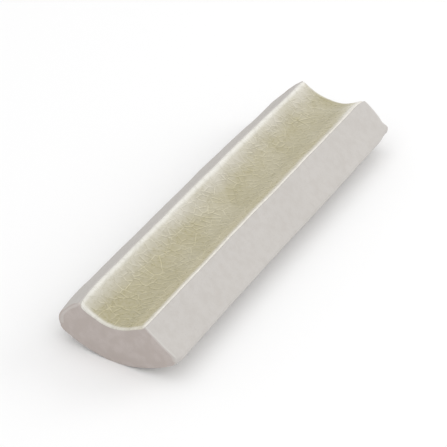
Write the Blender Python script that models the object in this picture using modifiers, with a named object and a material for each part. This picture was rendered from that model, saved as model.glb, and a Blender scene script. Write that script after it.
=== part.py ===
"""Pool corner tile: a fired ceramic cove trim that turns the inside corner between two tiled faces.

It is one straight bar. Its section is a quarter ring: a concave glazed face, a flat joint face on each
side that meets the neighbouring tile, and a convex back that is set in the mortar. It lies on its back
with the glazed face up and its length along Y. The origin is under its middle, where the back touches
the floor. Metres, +Z up.
"""

from math import asin, atan2, ceil, cos, hypot, pi, radians, sin, sqrt

import bmesh
import bpy
from mathutils import Matrix, Vector

# Driving dimensions
TILE_LENGTH = 0.115
COVE_RADIUS = 0.0136
TURNING_ANGLE = radians(90)
JOINT_FACE_DEPTH = 0.0124
BACK_RISE = 0.0069

# Rounded edges and worn corners
LIP_RADIUS = 0.0007
BACK_EDGE_RADIUS = 0.0009
END_EDGE_WIDTH = 0.0005
LEFT_CORNER_REACH = 0.0048
RIGHT_CORNER_REACH = 0.0015

# Fineness of the round stretches
COVE_FACETS = 24
BACK_FACETS = 25
FILLET_FACET_ANGLE = radians(18)
CORNER_FACETS = 6
END_EDGE_FACETS = 2
END_EDGE_ANGLE = radians(60)
SMOOTH_ANGLE = radians(35)
WELD_DISTANCE = 0.000001
CUTTER_MARGIN = 0.004
CUTTER_HEIGHT = 0.1

# Finish
BODY_COLOUR = (0.60, 0.56, 0.53, 1.0)
BODY_ROUGHNESS = 0.85
GLAZE_COLOUR = (0.50, 0.46, 0.32, 1.0)
GLAZE_ROUGHNESS = 0.2


def clear_scene():
    for obj in list(bpy.data.objects):
        bpy.data.objects.remove(obj, do_unlink=True)


def new_collection(name):
    collection = bpy.data.collections.new(name)
    bpy.context.scene.collection.children.link(collection)
    return collection


def new_material(name, colour, roughness):
    material = bpy.data.materials.new(name)
    material.use_nodes = True
    shader = material.node_tree.nodes["Principled BSDF"]
    shader.inputs["Base Color"].default_value = colour
    shader.inputs["Roughness"].default_value = roughness
    shader.inputs["Metallic"].default_value = 0.0
    material.diffuse_color = colour
    return material


def arc(centre, radius, start, end, facets):
    """Points along an arc in the section's plane, both ends included. Angles run from +X."""
    angles = [start + (end - start) * step / facets for step in range(facets + 1)]
    return [centre + radius * Vector((cos(angle), sin(angle))) for angle in angles]


def fillet_facets(angle):
    return max(2, ceil(abs(angle) / FILLET_FACET_ANGLE))


def section_sizes():
    """The section's main points, with the cove's centre at (0, 0) and the cove opening upwards."""
    half_turn = TURNING_ANGLE / 2
    outer_radius = COVE_RADIUS + JOINT_FACE_DEPTH
    half_width = outer_radius * sin(half_turn)
    edge_height = -outer_radius * cos(half_turn)
    back_radius = (half_width ** 2 + BACK_RISE ** 2) / (2 * BACK_RISE)
    back_centre = Vector((0, edge_height - BACK_RISE + back_radius))
    return half_turn, half_width, back_radius, back_centre


def section_outline():
    """The closed outline, anticlockwise from the left lip along the back to the right lip and the cove."""
    half_turn, _, back_radius, back_centre = section_sizes()
    down = -pi / 2
    along_side = Vector((sin(half_turn), -cos(half_turn)))
    into_body = Vector((-cos(half_turn), -sin(half_turn)))
    side_normal = atan2(-into_body.y, -into_body.x)

    lip_shift = asin(LIP_RADIUS / (COVE_RADIUS + LIP_RADIUS))
    lip_direction = down + half_turn - lip_shift
    lip_centre = (COVE_RADIUS + LIP_RADIUS) * Vector((cos(lip_direction), sin(lip_direction)))
    lip_turn = side_normal - (lip_direction + pi)
    right_lip = arc(lip_centre, LIP_RADIUS, side_normal, lip_direction + pi, fillet_facets(lip_turn))

    inset = BACK_EDGE_RADIUS * into_body - back_centre
    across = along_side.dot(inset)
    reach = sqrt(across ** 2 - inset.length_squared + (back_radius - BACK_EDGE_RADIUS) ** 2) - across
    edge_centre = reach * along_side + BACK_EDGE_RADIUS * into_body
    edge_direction = atan2(edge_centre.y - back_centre.y, edge_centre.x - back_centre.x)
    edge_turn = side_normal - edge_direction
    right_edge = arc(
        edge_centre, BACK_EDGE_RADIUS, edge_direction, side_normal, fillet_facets(edge_turn)
    )

    left_edge = [Vector((-point.x, point.y)) for point in reversed(right_edge)]
    left_lip = [Vector((-point.x, point.y)) for point in reversed(right_lip)]
    back = arc(back_centre, back_radius, -pi - edge_direction, edge_direction, BACK_FACETS)
    cove = arc(Vector((0, 0)), COVE_RADIUS, lip_direction, -pi - lip_direction, COVE_FACETS)
    return left_lip + left_edge[:-1] + back + right_edge[1:] + right_lip[:-1] + cove[:-1]


def extruded(name, outline, thickness):
    """A mesh object made from a flat closed outline, thickened evenly to both sides of its plane."""
    curve = bpy.data.curves.new(name, "CURVE")
    curve.dimensions = "2D"
    curve.fill_mode = "BOTH"
    curve.extrude = thickness / 2
    spline = curve.splines.new("POLY")
    spline.points.add(len(outline) - 1)
    for point, place in zip(spline.points, outline):
        point.co = (place.x, place.y, 0, 1)
    spline.use_cyclic_u = True
    guide = bpy.data.objects.new(name + "_outline", curve)
    bpy.context.scene.collection.objects.link(guide)
    bpy.context.view_layer.update()

    graph = bpy.context.evaluated_depsgraph_get()
    mesh = bpy.data.meshes.new_from_object(guide.evaluated_get(graph))
    mesh.name = name
    welded = bmesh.new()
    welded.from_mesh(mesh)
    bmesh.ops.remove_doubles(welded, verts=welded.verts, dist=WELD_DISTANCE)
    bmesh.ops.recalc_face_normals(welded, faces=welded.faces)
    welded.to_mesh(mesh)
    welded.free()

    solid = bpy.data.objects.new(name, mesh)
    solid.matrix_world = guide.matrix_world
    bpy.data.objects.remove(guide, do_unlink=True)
    bpy.data.curves.remove(curve)
    return solid


def corner_outline(side, end, reach):
    """The plan outline of what is worn off one corner.

    side is -1 for the left and 1 for the right, and end is -1 for the near and 1 for the far end. The
    worn edge is a quarter round. Its first and last facets run on past the tile's own faces, so that
    they cross those faces at an angle.
    """
    _, half_width, _, _ = section_sizes()
    half_length = TILE_LENGTH / 2
    centre = Vector((half_width - reach, half_length - reach))
    worn = arc(centre, reach, 0, pi / 2, CORNER_FACETS)
    run_out = CUTTER_MARGIN / 2
    first = worn[0] + (worn[0] - worn[1]).normalized() * run_out
    last = worn[-1] + (worn[-1] - worn[-2]).normalized() * run_out
    outer = Vector((half_width + CUTTER_MARGIN, half_length + CUTTER_MARGIN))
    shape = [first] + worn[1:-1] + [last, Vector((last.x, outer.y)), outer, Vector((outer.x, first.y))]
    return [Vector((side * point.x, end * point.y)) for point in shape]


def wear_corner(tile, collection, name, side, end, reach):
    """Cuts one worn corner from the tile."""
    cutter = extruded(name, corner_outline(side, end, reach), 2 * CUTTER_HEIGHT)
    cutter.hide_render = True
    cutter.display_type = "WIRE"
    collection.objects.link(cutter)
    cut = tile.modifiers.new(name, "BOOLEAN")
    cut.operation = "DIFFERENCE"
    cut.solver = "EXACT"
    cut.object = cutter


def glaze_cove_faces(mesh):
    """Glazes the faces that lie within the cove's radius of its axis, and leaves the rest bare."""
    for face in mesh.polygons:
        face.material_index = 1 if hypot(face.center.x, face.center.z) < COVE_RADIUS else 0


def build_tile(parts, cutters):
    tile = extruded("cove_tile", section_outline(), TILE_LENGTH)
    tile.data.transform(Matrix.Rotation(pi / 2, 4, "X"))
    tile.data.materials.append(new_material("fired_body", BODY_COLOUR, BODY_ROUGHNESS))
    tile.data.materials.append(new_material("crackle_glaze", GLAZE_COLOUR, GLAZE_ROUGHNESS))
    glaze_cove_faces(tile.data)
    lowest = min(vertex.co.z for vertex in tile.data.vertices)
    tile.data.transform(Matrix.Translation((0, 0, -lowest)))
    parts.objects.link(tile)

    ends = tile.modifiers.new("end_edges", "BEVEL")
    ends.limit_method = "ANGLE"
    ends.angle_limit = END_EDGE_ANGLE
    ends.width = END_EDGE_WIDTH
    ends.segments = END_EDGE_FACETS

    for end, end_name in ((-1, "near"), (1, "far")):
        wear_corner(tile, cutters, f"{end_name}_left_corner", -1, end, LEFT_CORNER_REACH)
        wear_corner(tile, cutters, f"{end_name}_right_corner", 1, end, RIGHT_CORNER_REACH)

    tile.data.shade_smooth()
    tile.data.set_sharp_from_angle(angle=SMOOTH_ANGLE)
    return tile


def main():
    clear_scene()
    parts = new_collection("pool_corner_tile")
    cutters = new_collection("cutters")
    build_tile(parts, cutters)


main()
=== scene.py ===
from math import atan2, cos, hypot, pi, radians, sin, sqrt

import bmesh
import bpy
from bpy.props import FloatProperty, FloatVectorProperty, PointerProperty
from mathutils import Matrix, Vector


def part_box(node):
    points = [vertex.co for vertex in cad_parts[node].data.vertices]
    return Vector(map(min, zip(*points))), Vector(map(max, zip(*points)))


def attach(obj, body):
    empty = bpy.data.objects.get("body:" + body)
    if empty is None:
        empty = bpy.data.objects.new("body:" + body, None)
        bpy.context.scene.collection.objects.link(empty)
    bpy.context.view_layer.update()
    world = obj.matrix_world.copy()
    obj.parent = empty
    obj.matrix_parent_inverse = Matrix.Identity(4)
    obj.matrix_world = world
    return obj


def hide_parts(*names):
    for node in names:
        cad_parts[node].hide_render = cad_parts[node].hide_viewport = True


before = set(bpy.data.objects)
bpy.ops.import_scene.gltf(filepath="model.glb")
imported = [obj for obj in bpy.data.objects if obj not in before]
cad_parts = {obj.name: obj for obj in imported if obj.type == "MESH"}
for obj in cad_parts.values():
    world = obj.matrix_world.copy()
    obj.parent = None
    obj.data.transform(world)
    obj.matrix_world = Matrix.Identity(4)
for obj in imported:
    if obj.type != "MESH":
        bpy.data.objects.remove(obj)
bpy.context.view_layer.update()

bl_info = {
    "name": "Pool corner tile",
    "version": (1, 0, 0),
    "blender": (4, 5, 0),
    "location": "View3D > Sidebar > Corner tile",
    "description": "Models a fired cove tile with a crackled glaze, and its studio",
    "category": "Object",
}

TILE_LOW, TILE_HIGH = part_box("cove_tile")
NEAR_END = TILE_LOW.y
FAR_END = TILE_HIGH.y

# How fine the meshes are
COVE_COLUMNS = 30
DEPTH_ROWS = 12
LENGTH_ROWS = 128
EDGE_SEGMENTS = 3
RIM_SEGMENTS = 4

# How points and edges are told apart
SAME_PLACE = 0.00002
SAME_ROW = 0.000001
ROW_DIGITS = 6
SAME_TURN = 0.001
TURN_DIGITS = 5
ARC_SLACK = radians(0.1)
LONG_EDGE = 0.01
SHARP_ANGLE = radians(28)
RIM_ANGLE = radians(50)

# The grain and the depth of the unevenness that pressing and dragging leave
PRESSED = (0.014, 0.00035)
DRAGGED_CLAY = (0.0025, 0.00008)
DRAGGED_GLAZE = (0.0025, 0.00006)

# Where the soft clay was pushed or the tile was worn: the place, how far it went, and how wide it reaches
PUSHES = (
    ("near_left_side_in", (-0.015, NEAR_END, 0.010), (0.0007, 0.0, -0.0002), 0.013),
    ("near_left_corner_down", (-0.0178, NEAR_END, 0.0069), (0.0001, 0.0, -0.0005), 0.007),
    ("near_left_lip_worn", (-0.0088, NEAR_END, 0.0148), (0.0, -0.0002, -0.0006), 0.0050),
    ("near_right_side_out", (0.018, -0.054, 0.007), (0.0004, 0.0, 0.0001), 0.045),
    ("near_right_corner_up", (0.0178, NEAR_END, 0.0069), (0.00057, 0.0, 0.0009), 0.010),
    ("right_side_out", (0.018, 0.024, 0.007), (0.0003, 0.0, 0.0), 0.050),
    ("near_right_lip_worn", (0.0099, NEAR_END, 0.0153), (-0.0004, 0.0, -0.0005), 0.0040),
    ("near_right_end_out", (0.0140, NEAR_END, 0.0108), (0.0, -0.0008, 0.0), 0.0105),
    ("near_right_back_up", (0.0105, NEAR_END, 0.0030), (0.0, 0.0, 0.0004), 0.0090),
    ("near_cove_low", (-0.0032, NEAR_END, 0.0120), (0.0, -0.0001, -0.00064), 0.0110),
    ("near_cove_high", (0.0072, NEAR_END, 0.0130), (0.0, 0.0, 0.0003), 0.0045),
    ("left_lip_out", (-0.0099, 0.014, 0.0153), (-0.00016, 0.0, 0.0001), 0.048),
    ("far_left_side_in", (-0.018, 0.048, 0.008), (0.0005, 0.0, 0.0), 0.022),
    ("far_right_lip_worn", (0.0101, FAR_END, 0.0153), (0.0002, -0.0001, -0.0004), 0.0055),
    ("far_cove_low", (0.0052, FAR_END, 0.0122), (0.0, 0.0, -0.0006), 0.0075),
    ("far_left_lip_worn", (-0.0099, FAR_END, 0.0153), (0.0002, -0.0002, -0.0001), 0.0030),
    ("far_right_lip_blunted", (0.0102, FAR_END, 0.0151), (0.0001, -0.0002, -0.0002), 0.0018),
    ("far_right_edge_chipped", (0.0159, FAR_END, 0.0090), (0.0, -0.00036, 0.0), 0.0022),
    ("far_right_corner_out", (0.0175, 0.0568, 0.0075), (0.0001, 0.0003, 0.0004), 0.0024),
    ("far_right_corner_under", (0.0178, 0.0550, 0.0064), (-0.0003, -0.0002, 0.0003), 0.0036),
)

# The sockets that a Mix node uses when it mixes colours, by number
MIX_SHARE = 0
MIX_FIRST = 6
MIX_SECOND = 7
MIX_RESULT = 2

# The finishes' noises: waves to the metre, detail and roughness
CLAY_CLOUDS = (70.0, 4.0, 0.55)
CLAY_MOTTLE = (480.0, 3.0, 0.6)
CLAY_SAND = (2600.0, 2.0, 0.7)
CLAY_STAINS = (260.0, 2.0, 0.55)
CRACK_BEND = (150.0, 1.0, 0.55)
CRACK_FADE = (190.0, 2.0, 0.55)
GLAZE_DRIFT = (75.0, 3.0, 0.55)
GLAZE_SPECKS = (900.0, 2.0, 0.6)
NOISE_MIDDLE = 0.5
PITS_TO_THE_METRE = 900.0

# The clay's ranges: a noise or a distance, from low to high, and the shares that these two give
CUT_TONE = (0.0, 0.0002, 1.0, 0.0)
LEFT_CORNERS = (-0.0165, -0.0085, 1.0, 0.0)
PALE_CLOUDS = (0.30, 0.70, 0.0, 0.45)
DARK_STAINS = (0.38, 0.60, 0.0, 0.85)
DARK_MOTTLE = (0.30, 0.62, 0.55, 0.0)
DARK_SAND = (0.58, 0.70, 0.0, 0.75)
# Edges between the cut ends and the joint faces: rubbed clay and a painted highlight
RUBBED_AND_HIGHLIT_EDGE = (0.0002, 0.0006, 1.0, 0.0)
PITTED = (0.05, 0.22, 0.0, 1.0)
CLAY_ROUGHNESS = (0.3, 0.7, 0.80, 0.92)

# How far the cut ends' tone goes on over the worn left corners, and how ragged the rubbed edges and their
# painted highlight are
LEFT_CUT_REACH = 0.0030
RAGGED_REACH = 0.0006

# The clay's shades, as shares of its own colour, and the colour that rubbing and a painted highlight give an
# edge
DARK_CLAY = (0.92, 0.908, 0.895, 1.0)
PALE_CLAY = (1.05, 1.05, 1.055, 1.0)
RUBBED_CLAY_AND_HIGHLIGHT = (0.66, 0.64, 0.61, 1.0)
RUBBED_AND_HIGHLIGHT_SHARE = 0.35

# The clay's relief and sheen
SAND_RELIEF = 0.5
PIT_RELIEF = 0.35
CLAY_BUMP = {"Strength": 0.55, "Distance": 0.00010}
CLAY_SPECULAR = 0.25

# The crackle's course: how far it bends, how the fine cells are drawn out, and the step that paints light and
# shade on their cracks, as if lit from one side
BEND_REACH = 0.0014
FINE_SLANT = (0.0, 0.0, radians(30))
FINE_STRETCH = (1.22, 0.88, 1.0)
# Painted light and shade: each fine crack is drawn lit on one side and shaded on the other, by this step
PAINTED_LIGHT_STEP = (-0.00016, 0.00028, 0.0)
FINE_CREST_REACH = 0.00028

# The glaze's ranges: a noise, a distance or a place, from low to high, and the shares that these two give
WIDE_LINE = (0.00004, 0.00021, 1.0, 0.0)
WIDE_LINE_FADE = (0.40, 0.60, 0.08, 1.2)
WIDE_LINE_ALONG = (-0.05, 0.04, 0.75, 0.45)
# Painted shadow along both sides of the wide cracks
PAINTED_SHADOW_BY_WIDE = (0.00015, 0.00050, 1.0, 0.0)
FINE_LINE_FADE = (0.38, 0.62, 1.15, 0.35)
CRACKS_IN_THIN_GLAZE = (0.08, 0.34, 1.0, 0.25)
PALE_DRIFT = (0.32, 0.68, 0.0, 0.55)
PALE_DRIFT_ALONG = (-0.052, -0.022, 0.0, 1.0)
PALE_DRIFT_ACROSS = (-0.005, 0.006, 1.2, 0.55)
PALE_SPECKS = (0.35, 0.65, 0.0, 0.14)
LIFTED_RIGHT = (0.0041, 0.0065, 0.0, 1.0)
# Painted reflection: the left slope is tinted cooler
PAINTED_REFLECTION_LEFT = (-0.0085, -0.0030, 1.0, 0.0)
WARM_RIM_RIGHT = (0.0, 0.008, 0.0, 1.0)
BREAKING_TO_CREAM = (0.0, 0.95, 0.0, 1.0)
GLAZE_ROUGHNESS = (0.3, 0.7, 0.26, 0.36)

# The glaze's shades, as shares of its own colour
LIFTED_GLAZE = (1.16, 1.16, 1.21, 1.0)
# Tint of the painted reflection on the left slope
PAINTED_REFLECTION_TINT = (0.985, 0.99, 1.085, 1.0)
WARMED_RIM = (1.01, 0.99, 0.96, 1.0)
# Painted shade beside the cracks, and a painted highlight on the fine cracks' lit side; the wide cracks' pale
# core is their own colour
CRACK_SHADE = (0.78, 0.775, 0.76, 1.0)
FINE_CRACK_LIGHT = (1.27, 1.28, 1.30, 1.0)
WIDE_CRACK_LIGHT = (1.34, 1.35, 1.36, 1.0)
# Strength of the painted shadow beside the wide cracks
PAINTED_SHADOW_BY_WIDE_SHARE = 0.40
SPECKLED_SHARE = 0.20

# The glaze's relief and gloss
DRIFT_RELIEF = 1.5
CRACK_RELIEF = 0.5
FINE_CRACK_RELIEF = 0.6
GLAZE_BUMP = {"Strength": 0.8, "Distance": 0.00005}
GLAZE_COAT_WEIGHT = 0.20
GLAZE_COAT_ROUGHNESS = 0.18

# The rims: how thin the glaze runs there, how far that lasts, and where it ends
LEFT_RIM_SHARE = 0.80
LEFT_RIM_REACH = (0.0005, 0.0025)
NEAR_LEFT_RIM_MORE = 0.0006
RIGHT_RIM_SHARE = 0.90
RIGHT_RIM_REACH = (0.0007, 0.0026)
FAR_RIGHT_RIM_MORE = 0.0011
# The near rim is partly a painted highlight: brighter and wider at the left, fading towards the right
NEAR_RIM_LOSS = 0.50
NEAR_RIM_REACH = (0.0002, 0.0009)
NEAR_LEFT_RIM_WIDER = (0.0003, 0.0014)
FAR_RIM_REACH = (0.0002, 0.0008)
FAR_RIGHT_BARE_REACH = (0.0020, 0.0034)
FAR_RIGHT_BARE_STRETCH = 0.8

# The pale wash down the left slope, part thinner glaze and part painted reflection: its strength along the
# tile, and where it ends
WASH_SHARE = 0.20
WASH_TOWARDS_NEAR = 0.17
WASH_AT_NEAR_END = 0.20
WASH_REACH = (0.0005, 0.0090)
WASH_SHORTER_AT_NEAR_END = 0.0032

# The studio: places, aims and sizes in metres
OVERHEAD_PLACE = (0.12, -0.30, 1.1)
OVERHEAD_AIM = (0, 0, 0)
OVERHEAD_SIZE = (1.5, 1.5)
SIDE_PLACE = (0.55, 0.65, 0.42)
SIDE_AIM = (0, 0, 0.01)
SIDE_SIZE = (0.60, 0.45)
FLOOR_ROUGHNESS = 0.9
FLOOR_SPECULAR = 0.1
SKY_COLOUR = (1.0, 1.0, 1.0, 1.0)
CAMERA_PLACE = (0.21161, -0.36175, 0.31487)
CAMERA_TURN = (radians(53.540), radians(0.570), radians(30.175))
SENSOR_WIDTH = 36
NEAREST_SEEN = 0.01


class TileSizes(bpy.types.PropertyGroup):
    length: FloatProperty(
        name="Length", description="Length of the tile from end to end",
        default=FAR_END - NEAR_END, min=0.02, unit="LENGTH",
    )
    cove_radius: FloatProperty(
        name="Cove radius", description="Radius of the glazed hollow",
        default=0.0136, min=0.004, unit="LENGTH",
    )
    turning_angle: FloatProperty(
        name="Turning angle", description="Angle between the two joint faces",
        default=radians(90), min=radians(30), max=radians(120), subtype="ANGLE",
    )
    joint_depth: FloatProperty(
        name="Joint face depth", description="Width of each flat face that meets the next tile",
        default=0.0124, min=0.004, unit="LENGTH",
    )
    back_rise: FloatProperty(
        name="Back rise", description="How far the round back stands below its two edges",
        default=0.0069, min=0.001, unit="LENGTH",
    )
    back_edge_round: FloatProperty(
        name="Back edge round", description="Rounding of the edges between back and joint faces",
        default=0.0009, min=0.0001, unit="LENGTH",
    )
    lip_round: FloatProperty(
        name="Clay lip round", description="Rounding of the clay under the glazed lips",
        default=0.0002, min=0.00005, unit="LENGTH",
    )
    end_round: FloatProperty(
        name="End round", description="Rounding of the edges of the two cut ends",
        default=0.00028, min=0.0001, unit="LENGTH",
    )
    corner_wear: FloatVectorProperty(
        name="Corner wear",
        description="Reach of the worn corners: near left, near right, far left, far right",
        default=(0.0030, 0.0017, 0.0046, 0.0014), size=4, min=0.0, unit="LENGTH",
    )


class GlazeSizes(bpy.types.PropertyGroup):
    thickness: FloatProperty(
        name="Glaze thickness", description="Thickness of the glaze on the clay",
        default=0.0004, min=0.0001, unit="LENGTH",
    )
    bedding: FloatProperty(
        name="Fused depth", description="How far the coat goes into the clay it is fused to",
        default=0.00025, min=0.0, unit="LENGTH",
    )
    rim_round: FloatProperty(
        name="Rim round", description="Rounding of the coat's rim",
        default=0.00040, min=0.0001, unit="LENGTH",
    )
    setback: FloatVectorProperty(
        name="Setback", description="How far the coat stops short of the left and the right joint face",
        default=(0.00022, 0.00042), size=2, min=0.0, unit="LENGTH",
    )
    corner_round: FloatVectorProperty(
        name="Corner round",
        description="Rounding of the coat's corners: near left, near right, far left, far right",
        default=(0.0008, 0.0005, 0.0005, 0.0007), size=4, min=0.0, unit="LENGTH",
    )
    crackle_cell: FloatProperty(
        name="Crackle size", description="Size of the wide cells of the crackle",
        default=0.0052, min=0.001, unit="LENGTH",
    )
    fine_cell: FloatProperty(
        name="Fine crackle size", description="Size of the fine cells inside the wide ones",
        default=0.0023, min=0.0005, unit="LENGTH",
    )


class FinishColours(bpy.types.PropertyGroup):
    clay: FloatVectorProperty(
        name="Fired clay", description="Colour of the bare fired clay",
        default=(0.545, 0.521, 0.495), size=3, min=0.0, max=1.0, subtype="COLOR",
    )
    cut_clay: FloatVectorProperty(
        name="Cut clay", description="Colour of the clay on the two cut ends",
        default=(0.506, 0.453, 0.427), size=3, min=0.0, max=1.0, subtype="COLOR",
    )
    pooled_glaze: FloatVectorProperty(
        name="Pooled glaze", description="Colour of the glaze where it is thick",
        default=(0.402, 0.364, 0.224), size=3, min=0.0, max=1.0, subtype="COLOR",
    )
    pale_glaze: FloatVectorProperty(
        name="Pale glaze", description="Colour of the glaze where it drifts paler",
        default=(0.540, 0.505, 0.395), size=3, min=0.0, max=1.0, subtype="COLOR",
    )
    rim_glaze: FloatVectorProperty(
        name="Rim glaze", description="Colour of the glaze where it runs thin and breaks over the edges",
        default=(0.780, 0.766, 0.722), size=3, min=0.0, max=1.0, subtype="COLOR",
    )


class StudioSettings(bpy.types.PropertyGroup):
    floor_size: FloatProperty(
        name="Floor size", description="Width of the plain floor",
        default=6.0, min=1.0, unit="LENGTH",
    )
    floor_colour: FloatVectorProperty(
        name="Floor", description="Colour of the plain floor",
        default=(0.93, 0.93, 0.93), size=3, min=0.0, max=1.0, subtype="COLOR",
    )
    sky_strength: FloatProperty(
        name="Sky strength", description="Strength of the even light from all round",
        default=0.78, min=0.0,
    )
    overhead_power: FloatProperty(
        name="Overhead power", description="Power of the wide soft light overhead",
        default=4.6, min=0.0, unit="POWER",
    )
    side_power: FloatProperty(
        name="Side power", description="Power of the soft light behind the tile on the right",
        default=2.0, min=0.0, unit="POWER",
    )
    lens: FloatProperty(
        name="Lens", description="Focal length of the camera, in millimetres",
        default=159.0, min=20.0, unit="CAMERA",
    )


# Selecting and shaping in edit mode

def deselect_all():
    for other in bpy.context.selected_objects:
        other.select_set(False)


def choose(piece):
    """Makes a piece the only one that is selected, and the active one."""
    deselect_all()
    piece.select_set(True)
    bpy.context.view_layer.objects.active = piece


def edit(piece):
    choose(piece)
    bpy.ops.object.mode_set(mode="EDIT")


def leave_edit():
    bpy.ops.object.mode_set(mode="OBJECT")


def pick(kind, wanted):
    """Selects the vertices, edges or faces of the piece in edit mode that a test accepts, and no others."""
    bpy.ops.mesh.select_mode(type={"verts": "VERT", "edges": "EDGE", "faces": "FACE"}[kind])
    bpy.ops.mesh.select_all(action="DESELECT")
    mesh = bpy.context.edit_object.data
    shape = bmesh.from_edit_mesh(mesh)
    found = [part for part in getattr(shape, kind) if wanted(part)]
    if not found:
        raise RuntimeError(f"{bpy.context.edit_object.name} has none of the {kind} that a step needs")
    for part in found:
        part.select_set(True)
    shape.select_flush_mode()
    bmesh.update_edit_mesh(mesh, loop_triangles=False, destructive=False)


def face_outwards():
    """Turns all faces of the piece in edit mode outwards."""
    bpy.ops.mesh.select_all(action="SELECT")
    bpy.ops.mesh.normals_make_consistent(inside=False)


def apply_modifiers(piece):
    choose(piece)
    for modifier in list(piece.modifiers):
        bpy.ops.object.modifier_apply(modifier=modifier.name)


# Places in the section

def axis_height(sizes):
    """Height of the hollow's axis over the floor."""
    outer = sizes.cove_radius + sizes.joint_depth
    return outer * cos(sizes.turning_angle / 2) + sizes.back_rise


def turn_of(place, sizes):
    """The angle round the hollow's axis, from straight down towards +X."""
    return atan2(place.x, axis_height(sizes) - place.z)


def distance_of(place, sizes):
    """The distance from the hollow's axis."""
    return hypot(place.x, axis_height(sizes) - place.z)


def fall(distance, whole, none):
    """1 up to one distance, falling smoothly to 0 at another."""
    share = min(max((none - distance) / (none - whole), 0.0), 1.0)
    return share * share * (3 - 2 * share)


# Steps that both pieces share

def name_piece(piece, name):
    """Names a new piece and its mesh, and sets its origin at the tile's."""
    piece.name = name
    piece.data.name = name
    bpy.ops.object.transform_apply(location=True, rotation=True, scale=True)


def runs_along(edge):
    """Whether an edge goes from one end of the tile to the other, before the rows are cut."""
    return abs(edge.verts[0].co.y - edge.verts[1].co.y) > LONG_EDGE


def cut_into_rows():
    """Cuts everything that runs from end to end into even rows."""
    pick("edges", runs_along)
    bpy.ops.mesh.subdivide(number_cuts=LENGTH_ROWS - 1)


def push(piece):
    """Pushes and wears a piece. Both pieces go through the same, so that the coat stays on the clay."""
    for name, place, shift, reach in PUSHES:
        bpy.ops.object.empty_add(location=place)
        start = bpy.context.active_object
        bpy.ops.object.empty_add(location=Vector(place) + Vector(shift))
        goal = bpy.context.active_object
        pushed = piece.modifiers.new(name, "WARP")
        pushed.object_from = start
        pushed.object_to = goal
        pushed.falloff_type = "SMOOTH"
        pushed.falloff_radius = reach
        apply_modifiers(piece)
        for helper in (start, goal):
            bpy.data.objects.remove(helper, do_unlink=True)


def refine(piece):
    """Rounds the mesh off to twice its fineness."""
    finer = piece.modifiers.new("finer", "SUBSURF")
    finer.levels = 1
    finer.render_levels = 1
    apply_modifiers(piece)


def ripple(piece, name, grain, depth):
    """Lets the surface wander a little, as pressed and fired clay does."""
    cloud = bpy.data.textures.new(name, "CLOUDS")
    cloud.noise_scale = grain
    cloud.noise_depth = 2
    cloud.cloud_type = "COLOR"
    wander = piece.modifiers.new(name, "DISPLACE")
    wander.texture = cloud
    wander.texture_coords = "LOCAL"
    wander.direction = "RGB_TO_XYZ"
    wander.strength = depth
    wander.mid_level = 0.5
    apply_modifiers(piece)


# Material nodes

def new_finish(name):
    """A new material, its node tree and its shader."""
    material = bpy.data.materials.new(name)
    material.use_nodes = True
    tree = material.node_tree
    return material, tree, tree.nodes["Principled BSDF"]


def node(tree, kind, values=(), **settings):
    """A new node. Its values are numbers, colours or the sockets that feed it."""
    made = tree.nodes.new(kind)
    for setting, value in settings.items():
        setattr(made, setting, value)
    for socket, value in dict(values).items():
        if isinstance(value, bpy.types.NodeSocket):
            tree.links.new(value, made.inputs[socket])
        else:
            made.inputs[socket].default_value = value
    return made


def attribute(tree, name, kind):
    return node(tree, "ShaderNodeAttribute", attribute_name=name).outputs[kind]


def maths(tree, operation, *values):
    return node(tree, "ShaderNodeMath", dict(enumerate(values)), operation=operation).outputs[0]


def plus(tree, first, second):
    return maths(tree, "ADD", first, second)


def minus(tree, first, second):
    return maths(tree, "SUBTRACT", first, second)


def times(tree, first, second):
    return maths(tree, "MULTIPLY", first, second)


def moved(tree, place, step):
    """A place, moved by a step."""
    return node(tree, "ShaderNodeVectorMath", {0: place, 1: step}, operation="ADD").outputs[0]


def spread(tree, value, low, high, to_low, to_high, smooth=True):
    """Maps a value's stretch from low to high onto another stretch, and holds it there."""
    made = node(
        tree, "ShaderNodeMapRange",
        {"Value": value, "From Min": low, "From Max": high, "To Min": to_low, "To Max": to_high},
        interpolation_type="SMOOTHSTEP" if smooth else "LINEAR",
    )
    return made.outputs["Result"]


def blend(tree, share, first, second, mode="MIX"):
    """The first colour with a share of the second."""
    made = node(
        tree, "ShaderNodeMix", {MIX_SHARE: share, MIX_FIRST: first, MIX_SECOND: second},
        data_type="RGBA", blend_type=mode,
    )
    return made.outputs[MIX_RESULT]


def shaded(tree, colour, shade):
    """A colour, multiplied by a shade."""
    return blend(tree, 1.0, colour, shade, "MULTIPLY")


def noise(tree, place, waves, detail, roughness):
    made = node(
        tree, "ShaderNodeTexNoise",
        {"Vector": place, "Scale": waves, "Detail": detail, "Roughness": roughness},
    )
    return made.outputs


def opaque(colour):
    return (*colour, 1.0)


# The clay's finish

def rubbed_edges_and_highlight(tree, to_end, to_side, mottle):
    """The share of rubbed clay and painted highlight, along the edges where the cut ends meet the joint
    faces.
    """
    ragged = times(tree, minus(tree, mottle, NOISE_MIDDLE), RAGGED_REACH)
    at_end = spread(tree, plus(tree, to_end, ragged), *RUBBED_AND_HIGHLIT_EDGE)
    at_side = spread(tree, plus(tree, to_side, ragged), *RUBBED_AND_HIGHLIT_EDGE)
    return times(tree, times(tree, at_end, at_side), RUBBED_AND_HIGHLIGHT_SHARE)


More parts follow.
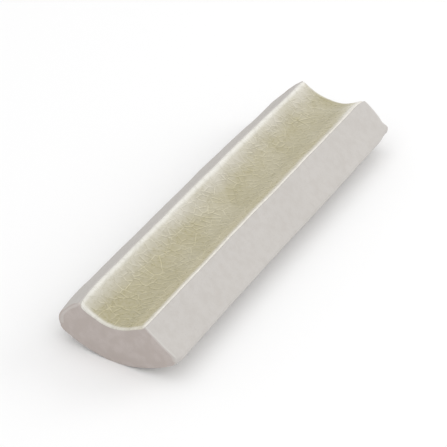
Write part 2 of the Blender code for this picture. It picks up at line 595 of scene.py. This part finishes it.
def clay_finish(colours, sizes):
    """Bare fired clay: greige, mottled and sandy, warmer on the two cut ends, and paler at its edges, which
    are rubbed and carry a painted highlight.
    """
    material, tree, shader = new_finish("bare_fired_clay")
    place = node(tree, "ShaderNodeTexCoord").outputs["Object"]
    clouds = noise(tree, place, *CLAY_CLOUDS)["Fac"]
    mottle = noise(tree, place, *CLAY_MOTTLE)["Fac"]
    sand = noise(tree, place, *CLAY_SAND)["Fac"]
    stains = noise(tree, place, *CLAY_STAINS)["Fac"]
    unworn = attribute(tree, "unworn_place", "Vector")
    across, along, to_side = node(tree, "ShaderNodeSeparateXYZ", {"Vector": unworn}).outputs
    to_end = minus(tree, sizes.length / 2, maths(tree, "ABSOLUTE", along))

    carried_over = times(tree, spread(tree, across, *LEFT_CORNERS), LEFT_CUT_REACH)
    cut = spread(tree, minus(tree, to_end, carried_over), *CUT_TONE)
    base = blend(tree, cut, opaque(colours.clay), opaque(colours.cut_clay))
    dark = shaded(tree, base, DARK_CLAY)
    pale = shaded(tree, base, PALE_CLAY)
    tone = blend(tree, spread(tree, clouds, *PALE_CLOUDS), base, pale)
    tone = blend(tree, times(tree, spread(tree, stains, *DARK_STAINS), cut), tone, dark)
    tone = blend(tree, spread(tree, mottle, *DARK_MOTTLE), tone, dark)
    tone = blend(tree, spread(tree, sand, *DARK_SAND), tone, dark)
    # Painted highlight and rubbing: the edges between the cut ends and the joint faces turn paler
    tone = blend(tree, rubbed_edges_and_highlight(tree, to_end, to_side, mottle), tone, RUBBED_CLAY_AND_HIGHLIGHT)
    tree.links.new(tone, shader.inputs["Base Color"])
    tree.links.new(spread(tree, mottle, *CLAY_ROUGHNESS), shader.inputs["Roughness"])

    pits = node(
        tree, "ShaderNodeTexVoronoi", {"Vector": place, "Scale": PITS_TO_THE_METRE}, feature="F1"
    ).outputs["Distance"]
    pits = times(tree, spread(tree, pits, *PITTED), PIT_RELIEF)
    relief = plus(tree, plus(tree, times(tree, sand, SAND_RELIEF), pits), mottle)
    rough = node(tree, "ShaderNodeBump", {"Height": relief, **CLAY_BUMP})
    tree.links.new(rough.outputs[0], shader.inputs["Normal"])
    shader.inputs["Specular IOR Level"].default_value = CLAY_SPECULAR
    return material


# The glaze's finish

def cells(tree, place, size, feature):
    """A crackle's cells, in the plane of the cove when it is rolled out."""
    return node(
        tree, "ShaderNodeTexVoronoi", {"Vector": place, "Scale": 1.0 / size},
        voronoi_dimensions="2D", feature=feature,
    ).outputs


def bent_place(tree, place):
    """A place that wanders, so that no crack runs dead straight."""
    bend = noise(tree, place, *CRACK_BEND)["Color"]
    middle = (NOISE_MIDDLE, NOISE_MIDDLE, NOISE_MIDDLE)
    bend = node(tree, "ShaderNodeVectorMath", {0: bend, 1: middle}, operation="SUBTRACT").outputs[0]
    bend = node(tree, "ShaderNodeVectorMath", {0: bend, "Scale": BEND_REACH}, operation="SCALE").outputs[0]
    return moved(tree, place, bend)


def fine_crests(tree, place, glaze):
    """1 on the fine cracks, 0 between them. Their cells are drawn out along a slant across the cove."""
    slanted = node(
        tree, "ShaderNodeMapping", {"Vector": place, "Rotation": FINE_SLANT, "Scale": FINE_STRETCH},
        vector_type="TEXTURE",
    ).outputs["Vector"]
    to_crack = cells(tree, slanted, glaze.fine_cell, "DISTANCE_TO_EDGE")["Distance"]
    return spread(tree, to_crack, 0.0, FINE_CREST_REACH / glaze.fine_cell, 1.0, 0.0)


def crackle(tree, place, glaze):
    """Distance to the wide cracks, the fine cracks' crests, and these crests moved by the painted light's
    step.

    Each wide cell starts its fine cells at a place of its own, so that they don't run on past its cracks.
    """
    bent = bent_place(tree, place)
    to_wide = times(
        tree, cells(tree, bent, glaze.crackle_cell, "DISTANCE_TO_EDGE")["Distance"], glaze.crackle_cell
    )
    own_start = cells(tree, bent, glaze.crackle_cell, "F1")["Color"]
    inside = moved(tree, own_start, bent)
    crests = fine_crests(tree, inside, glaze)
    crests_moved_for_painted_light = fine_crests(tree, moved(tree, inside, PAINTED_LIGHT_STEP), glaze)
    return to_wide, crests, crests_moved_for_painted_light


def uncracked_glaze(tree, colours, across, along, thin, drift, specks):
    """The glaze without its cracks: olive where it pools, drifting paler, and cream where it runs thin; the
    left slope's cool tint and part of its pale wash are a painted reflection.
    """
    paler = times(tree, spread(tree, drift, *PALE_DRIFT), spread(tree, along, *PALE_DRIFT_ALONG))
    paler = times(tree, paler, spread(tree, across, *PALE_DRIFT_ACROSS))
    deep = blend(tree, paler, opaque(colours.pooled_glaze), opaque(colours.pale_glaze))
    deep = blend(tree, spread(tree, specks, *PALE_SPECKS), deep, opaque(colours.pale_glaze))
    deep = blend(tree, spread(tree, across, *LIFTED_RIGHT), deep, shaded(tree, deep, LIFTED_GLAZE))
    # Painted reflection: a cooler tint on the left slope
    deep = blend(tree, spread(tree, across, *PAINTED_REFLECTION_LEFT), deep, shaded(tree, deep, PAINTED_REFLECTION_TINT))
    rim = opaque(colours.rim_glaze)
    rim = blend(tree, spread(tree, across, *WARM_RIM_RIGHT), rim, shaded(tree, rim, WARMED_RIM))
    uneven = plus(tree, thin, times(tree, minus(tree, specks, NOISE_MIDDLE), SPECKLED_SHARE))
    return blend(tree, spread(tree, uneven, *BREAKING_TO_CREAM, smooth=False), deep, rim)


def glaze_finish(colours, glaze):
    """A celadon glaze crazed in two sizes of crackle, breaking to cream where it runs thin, with painted
    light and shade on the fine cracks, a painted shadow beside the wide ones, and a partly painted reflection
    on the left slope.
    """
    material, tree, shader = new_finish("crackled_celadon")
    place = attribute(tree, "glaze_place", "Vector")
    # The thin-glaze value also carries painted light: a partly painted reflection in the left wash and a
    # partly painted highlight on the near rim
    thin = attribute(tree, "thin_glaze", "Fac")
    across, along, _ = node(tree, "ShaderNodeSeparateXYZ", {"Vector": place}).outputs
    fade = noise(tree, place, *CRACK_FADE)["Fac"]
    drift = noise(tree, place, *GLAZE_DRIFT)["Fac"]
    specks = noise(tree, place, *GLAZE_SPECKS)["Fac"]
    to_wide, crests, crests_moved_for_painted_light = crackle(tree, place, glaze)
    wide_lines = times(tree, spread(tree, to_wide, *WIDE_LINE), spread(tree, fade, *WIDE_LINE_FADE))

    plain = uncracked_glaze(tree, colours, across, along, thin, drift, specks)
    clear = spread(tree, thin, *CRACKS_IN_THIN_GLAZE)
    show_painted_fine_light = times(tree, spread(tree, fade, *FINE_LINE_FADE), clear)
    # Painted light and shade on the fine cracks: one side of each crack is painted shaded, the other painted
    # lit
    painted_crack_shade = times(tree, minus(tree, crests_moved_for_painted_light, crests), show_painted_fine_light)
    painted_crack_highlight = times(tree, minus(tree, crests, crests_moved_for_painted_light), show_painted_fine_light)
    # Painted shadow along both sides of the wide cracks, joined with the fine cracks' painted shade
    painted_shadow_by_wide = times(tree, spread(tree, to_wide, *PAINTED_SHADOW_BY_WIDE), PAINTED_SHADOW_BY_WIDE_SHARE)
    in_shade = maths(tree, "MAXIMUM", painted_shadow_by_wide, painted_crack_shade)
    tone = blend(tree, in_shade, plain, shaded(tree, plain, CRACK_SHADE))
    tone = blend(tree, painted_crack_highlight, tone, shaded(tree, plain, FINE_CRACK_LIGHT))
    show_wide = times(tree, spread(tree, along, *WIDE_LINE_ALONG), clear)
    tone = blend(tree, times(tree, wide_lines, show_wide), tone, shaded(tree, plain, WIDE_CRACK_LIGHT))
    tree.links.new(tone, shader.inputs["Base Color"])
    tree.links.new(spread(tree, specks, *GLAZE_ROUGHNESS), shader.inputs["Roughness"])

    lines = maths(tree, "MAXIMUM", wide_lines, times(tree, crests, FINE_CRACK_RELIEF))
    relief = minus(tree, times(tree, drift, DRIFT_RELIEF), times(tree, lines, CRACK_RELIEF))
    waves = node(tree, "ShaderNodeBump", {"Height": relief, **GLAZE_BUMP})
    tree.links.new(waves.outputs[0], shader.inputs["Normal"])
    shader.inputs["Coat Weight"].default_value = GLAZE_COAT_WEIGHT
    shader.inputs["Coat Roughness"].default_value = GLAZE_COAT_ROUGHNESS
    return material


# The clay body

def add_ring(radius, sizes):
    """Adds a ring round the hollow's axis at the near end."""
    bpy.ops.mesh.primitive_circle_add(
        vertices=round(COVE_COLUMNS * 2 * pi / sizes.turning_angle), radius=radius, fill_type="NOTHING",
        location=(0, -sizes.length / 2, axis_height(sizes)), rotation=(pi / 2, 0, 0),
    )


def keep_the_arc(sizes):
    """Cuts every ring down to the arc from joint face to joint face."""
    limit = sizes.turning_angle / 2 + ARC_SLACK
    pick("verts", lambda vertex: abs(turn_of(vertex.co, sizes)) > limit)
    bpy.ops.mesh.delete(type="VERT")


def draw_the_section(sizes, glaze):
    """Starts the body with two arcs, the glaze's bed and the flattened back, and fills in between them."""
    bed = sizes.cove_radius + glaze.thickness
    outer = sizes.cove_radius + sizes.joint_depth
    deselect_all()
    add_ring(bed, sizes)
    body = bpy.context.active_object
    name_piece(body, "tile_body")
    edit(body)
    keep_the_arc(sizes)
    add_ring(outer, sizes)
    keep_the_arc(sizes)

    edge_drop = outer * cos(sizes.turning_angle / 2)
    round_rise = outer - edge_drop
    pick("verts", lambda vertex: distance_of(vertex.co, sizes) > (bed + outer) / 2)
    bpy.ops.transform.resize(
        value=(1, 1, sizes.back_rise / round_rise),
        center_override=(0, -sizes.length / 2, axis_height(sizes) - edge_drop),
    )
    bpy.ops.mesh.select_mode(type="EDGE")
    bpy.ops.mesh.select_all(action="SELECT")
    bpy.ops.mesh.bridge_edge_loops(number_cuts=DEPTH_ROWS - 1, interpolation="LINEAR")
    return body


def round_edges(body, sizes):
    """Marks each sharp edge with its own rounding, then bevels them all at once."""
    widest = max(sizes.back_edge_round, sizes.end_round, sizes.lip_round)
    lip = sizes.cove_radius + sizes.joint_depth / 4

    def at_an_end(edge):
        return not runs_along(edge)

    def at_a_lip(edge):
        return runs_along(edge) and distance_of(edge.verts[0].co, sizes) < lip

    def at_the_back(edge):
        return runs_along(edge) and not at_a_lip(edge)

    groups = (
        (sizes.end_round, at_an_end),
        (sizes.lip_round, at_a_lip),
        (sizes.back_edge_round, at_the_back),
    )
    for width, in_group in groups:
        pick("edges", lambda edge: edge.calc_face_angle(0) > SHARP_ANGLE and in_group(edge))
        bpy.ops.transform.edge_bevelweight(value=width / widest)
    leave_edit()
    rounding = body.modifiers.new("rounding", "BEVEL")
    rounding.limit_method = "WEIGHT"
    rounding.width = widest
    rounding.segments = EDGE_SEGMENTS
    apply_modifiers(body)


def note_the_clay(body, sizes):
    """Writes down, for the finish, each point's place across and along the tile before it is worn.

    The third number is how deep the point lies under the nearest joint face.
    """
    half_turn = sizes.turning_angle / 2
    mesh = body.data
    mesh.attributes.new("unworn_place", "FLOAT_VECTOR", "POINT")
    place = mesh.attributes["unworn_place"]
    for index, vertex in enumerate(mesh.vertices):
        turn = abs(turn_of(vertex.co, sizes))
        to_side = distance_of(vertex.co, sizes) * sin(half_turn - turn)
        place.data[index].vector = (vertex.co.x, vertex.co.y, to_side)


def wear_corners(sizes):
    """Presses each worn corner onto a quarter round, one row of points at a time."""
    half_length = sizes.length / 2
    points = bmesh.from_edit_mesh(bpy.context.edit_object.data).verts
    half_width = max(vertex.co.x for vertex in points)
    rows = sorted({round(vertex.co.y, ROW_DIGITS) for vertex in points})
    corners = ((-1, -1), (1, -1), (-1, 1), (1, 1))
    for (side, end), reach in zip(corners, sizes.corner_wear):
        for row in rows:
            away = half_length - end * row
            if away > reach:
                continue
            edge = half_width - reach + sqrt(reach ** 2 - (reach - away) ** 2)

            def is_worn(vertex):
                return abs(vertex.co.y - row) < SAME_ROW and side * vertex.co.x > edge

            points = bmesh.from_edit_mesh(bpy.context.edit_object.data).verts
            if any(is_worn(vertex) for vertex in points):
                pick("verts", is_worn)
                bpy.ops.transform.resize(value=(0, 1, 1), center_override=(side * edge, row, 0))


class CORNERTILE_OT_body(bpy.types.Operator):
    """Model the fired clay body of the tile"""

    bl_idname = "corner_tile.body"
    bl_label = "Fired clay body"

    def execute(self, context):
        sizes = context.scene.tile_sizes
        body = draw_the_section(sizes, context.scene.glaze_sizes)
        bpy.ops.mesh.select_mode(type="FACE")
        bpy.ops.mesh.select_all(action="SELECT")
        bpy.ops.mesh.extrude_region_move(TRANSFORM_OT_translate={"value": (0, sizes.length, 0)})
        face_outwards()
        round_edges(body, sizes)
        edit(body)
        cut_into_rows()
        leave_edit()
        note_the_clay(body, sizes)
        edit(body)
        wear_corners(sizes)
        leave_edit()
        push(body)
        refine(body)
        ripple(body, "pressed_clay", *PRESSED)
        ripple(body, "dragged_clay", *DRAGGED_CLAY)
        body.data.shade_smooth()
        body.data.materials.append(clay_finish(context.scene.finish_colours, sizes))
        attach(body, "root")
        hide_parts("cove_tile")
        return {"FINISHED"}


# The glaze coat

def spin_the_coat(sizes, glaze):
    """Starts the coat as a rail along the left lip, and spins it round the hollow's axis to the right lip."""
    left, right = (stop / sizes.cove_radius for stop in glaze.setback)
    start = sizes.turning_angle / 2 - left
    rail = (-sizes.cove_radius * sin(start), 0, axis_height(sizes) - sizes.cove_radius * cos(start))
    deselect_all()
    bpy.ops.mesh.primitive_plane_add(size=sizes.length, location=rail)
    coat = bpy.context.active_object
    name_piece(coat, "glaze_coat")
    edit(coat)
    pick("verts", lambda vertex: vertex.co.x > rail[0])
    bpy.ops.mesh.delete(type="VERT")
    bpy.ops.mesh.select_all(action="SELECT")
    bpy.ops.transform.translate(value=(sizes.length / 2, 0, 0))
    bpy.ops.mesh.spin(
        steps=COVE_COLUMNS, angle=sizes.turning_angle - left - right,
        center=(0, 0, axis_height(sizes)), axis=(0, 1, 0),
    )
    return coat


def round_the_coats_corners(sizes, glaze):
    """Draws in the ends of the coat's outer columns, so that its corners are quarter rounds."""
    points = bmesh.from_edit_mesh(bpy.context.edit_object.data).verts
    turns = sorted({round(turn_of(vertex.co, sizes), TURN_DIGITS) for vertex in points})
    leftmost, rightmost = turns[0], turns[-1]
    corners = ((leftmost, -1), (rightmost, -1), (leftmost, 1), (rightmost, 1))
    for (outermost, end), reach in zip(corners, glaze.corner_round):
        for turn in turns:
            away = abs(turn - outermost) * sizes.cove_radius
            if away >= reach:
                continue
            drawn_in = reach - sqrt(reach ** 2 - (reach - away) ** 2)

            def is_column_end(vertex):
                return abs(turn_of(vertex.co, sizes) - turn) < SAME_TURN and end * vertex.co.y > 0

            pick("verts", is_column_end)
            bpy.ops.transform.resize(
                value=(1, 1 - 2 * drawn_in / sizes.length, 1), center_override=(0, 0, 0)
            )


def give_the_coat_its_wall(coat, glaze):
    """Thickens the coat downwards, into the clay."""
    upwards = sum(face.normal.z for face in coat.data.polygons)
    wall = coat.modifiers.new("coat", "SOLIDIFY")
    wall.thickness = glaze.thickness + glaze.bedding
    wall.offset = -1 if upwards > 0 else 1
    wall.use_even_offset = True
    apply_modifiers(coat)


def round_the_rim(sizes, glaze):
    """Rounds the sharp edges of the coat's upper face."""
    top = sizes.cove_radius + SAME_PLACE

    def is_rim(edge):
        on_top = all(distance_of(vertex.co, sizes) < top for vertex in edge.verts)
        return on_top and edge.calc_face_angle(0) > RIM_ANGLE

    pick("edges", is_rim)
    bpy.ops.mesh.bevel(offset=glaze.rim_round, segments=RIM_SEGMENTS, profile=0.5, affect="EDGES")


def thinness_and_painted_light(from_left, from_right, from_near, from_far):
    """How thin the glaze runs at a place, from 0 where it pools to 1 where it breaks to cream, with painted
    light mixed in: the left slope's wash is partly a painted reflection, the near rim's fall to the right
    partly a painted highlight.
    """
    to_far = from_near / (from_near + from_far)
    to_near = 1 - to_far
    to_right = max(from_left / (from_left + from_right), 0.0)
    to_left = 1 - to_right

    whole, none = LEFT_RIM_REACH
    more = NEAR_LEFT_RIM_MORE * to_near ** 12
    left_rim = LEFT_RIM_SHARE * fall(from_left, whole + more, none + more)
    whole, none = RIGHT_RIM_REACH
    right_rim = RIGHT_RIM_SHARE * fall(from_right, whole, none + FAR_RIGHT_RIM_MORE * to_far)
    # The near rim: thin glaze and a painted highlight that fades towards the right
    whole, none = NEAR_RIM_REACH
    whole_wider, none_wider = NEAR_LEFT_RIM_WIDER
    near_rim_and_painted_highlight = (1 - NEAR_RIM_LOSS * sqrt(to_right)) * fall(
        from_near, whole + whole_wider * to_left ** 3, none + none_wider * to_left ** 4
    )
    far_rim = fall(from_far, *FAR_RIM_REACH)
    bare_corner = fall(hypot(from_right, from_far * FAR_RIGHT_BARE_STRETCH), *FAR_RIGHT_BARE_REACH)

    # The pale wash on the left slope: part thinner glaze, part painted reflection
    whole, none = WASH_REACH
    wash_share = WASH_SHARE + WASH_TOWARDS_NEAR * to_near ** 3 + WASH_AT_NEAR_END * to_near ** 12
    wash_and_painted_reflection = wash_share * fall(from_left, whole, none - WASH_SHORTER_AT_NEAR_END * to_near ** 10)
    return max(left_rim, right_rim, near_rim_and_painted_highlight, far_rim, bare_corner, wash_and_painted_reflection)


def note_the_glaze(coat, sizes):
    """Writes down, for the finish, where each point lies in the cove, and how thin its glaze is, with painted
    light mixed in.
    """
    half_length = sizes.length / 2
    half_arc = sizes.cove_radius * sizes.turning_angle / 2
    mesh = coat.data
    mesh.attributes.new("glaze_place", "FLOAT_VECTOR", "POINT")
    mesh.attributes.new("thin_glaze", "FLOAT", "POINT")
    place = mesh.attributes["glaze_place"]
    thin = mesh.attributes["thin_glaze"]
    for index, vertex in enumerate(mesh.vertices):
        across = turn_of(vertex.co, sizes) * sizes.cove_radius
        along = vertex.co.y
        place.data[index].vector = (across, along, 0.0)
        thin.data[index].value = thinness_and_painted_light(
            half_arc + across, half_arc - across, half_length + along, half_length - along
        )


class CORNERTILE_OT_glaze(bpy.types.Operator):
    """Lay the crackled glaze coat in the cove"""

    bl_idname = "corner_tile.glaze"
    bl_label = "Glaze coat"

    def execute(self, context):
        sizes = context.scene.tile_sizes
        glaze = context.scene.glaze_sizes
        coat = spin_the_coat(sizes, glaze)
        cut_into_rows()
        round_the_coats_corners(sizes, glaze)
        face_outwards()
        leave_edit()
        give_the_coat_its_wall(coat, glaze)
        edit(coat)
        face_outwards()
        round_the_rim(sizes, glaze)
        leave_edit()
        push(coat)
        refine(coat)
        note_the_glaze(coat, sizes)
        ripple(coat, "pressed_clay_under_glaze", *PRESSED)
        ripple(coat, "dragged_glaze", *DRAGGED_GLAZE)
        coat.data.shade_smooth()
        coat.data.materials.append(glaze_finish(context.scene.finish_colours, glaze))
        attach(coat, "root")
        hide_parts("cove_tile")
        return {"FINISHED"}


# The studio

def add_floor(studio):
    deselect_all()
    bpy.ops.mesh.primitive_plane_add(size=studio.floor_size, location=(0, 0, 0))
    floor = bpy.context.active_object
    floor.name = "floor"
    material, _, shader = new_finish("plain_floor")
    shader.inputs["Base Color"].default_value = opaque(studio.floor_colour)
    shader.inputs["Roughness"].default_value = FLOOR_ROUGHNESS
    shader.inputs["Specular IOR Level"].default_value = FLOOR_SPECULAR
    floor.data.materials.append(material)


def add_softbox(name, place, aim, size, power):
    bpy.ops.object.light_add(type="AREA", location=place)
    softbox = bpy.context.active_object
    softbox.name = name
    softbox.rotation_euler = (Vector(aim) - Vector(place)).to_track_quat("-Z", "Y").to_euler()
    softbox.data.shape = "RECTANGLE"
    softbox.data.size, softbox.data.size_y = size
    softbox.data.energy = power


def light_the_sky(scene, strength):
    world = scene.world or bpy.data.worlds.new("studio_sky")
    scene.world = world
    world.use_nodes = True
    sky = world.node_tree.nodes["Background"]
    sky.inputs["Color"].default_value = SKY_COLOUR
    sky.inputs["Strength"].default_value = strength


def add_camera(scene, lens):
    bpy.ops.object.camera_add(location=CAMERA_PLACE, rotation=CAMERA_TURN)
    camera = bpy.context.active_object
    camera.name = "product_camera"
    camera.data.lens = lens
    camera.data.sensor_width = SENSOR_WIDTH
    camera.data.clip_start = NEAREST_SEEN
    scene.camera = camera


class CORNERTILE_OT_studio(bpy.types.Operator):
    """Set the plain floor, the soft lights and the camera"""

    bl_idname = "corner_tile.studio"
    bl_label = "Studio"

    def execute(self, context):
        studio = context.scene.studio_settings
        add_floor(studio)
        add_softbox(
            "overhead_softbox", OVERHEAD_PLACE, OVERHEAD_AIM, OVERHEAD_SIZE, studio.overhead_power
        )
        add_softbox("side_softbox", SIDE_PLACE, SIDE_AIM, SIDE_SIZE, studio.side_power)
        light_the_sky(context.scene, studio.sky_strength)
        add_camera(context.scene, studio.lens)
        context.scene.view_settings.view_transform = "Standard"
        return {"FINISHED"}


class CORNERTILE_PT_panel(bpy.types.Panel):
    """The sidebar panel that lists the tile's settings and steps"""

    bl_idname = "CORNERTILE_PT_panel"
    bl_label = "Pool corner tile"
    bl_space_type = "VIEW_3D"
    bl_region_type = "UI"
    bl_category = "Corner tile"

    def draw(self, context):
        for label, group in SETTINGS.items():
            box = self.layout.box()
            settings = getattr(context.scene, label)
            for name in group.__annotations__:
                box.prop(settings, name)
        for step in STEPS:
            self.layout.operator(step.bl_idname)


SETTINGS = {
    "tile_sizes": TileSizes,
    "glaze_sizes": GlazeSizes,
    "finish_colours": FinishColours,
    "studio_settings": StudioSettings,
}
STEPS = (CORNERTILE_OT_body, CORNERTILE_OT_glaze, CORNERTILE_OT_studio)


def register():
    for group in SETTINGS.values():
        bpy.utils.register_class(group)
    for label, group in SETTINGS.items():
        setattr(bpy.types.Scene, label, PointerProperty(type=group))
    for step in (*STEPS, CORNERTILE_PT_panel):
        bpy.utils.register_class(step)


def unregister():
    for step in (CORNERTILE_PT_panel, *reversed(STEPS)):
        bpy.utils.unregister_class(step)
    for label, group in SETTINGS.items():
        delattr(bpy.types.Scene, label)
        bpy.utils.unregister_class(group)


def main():
    register()
    bpy.ops.corner_tile.body()
    bpy.ops.corner_tile.glaze()
    bpy.ops.corner_tile.studio()


if __name__ == "__main__":
    main()
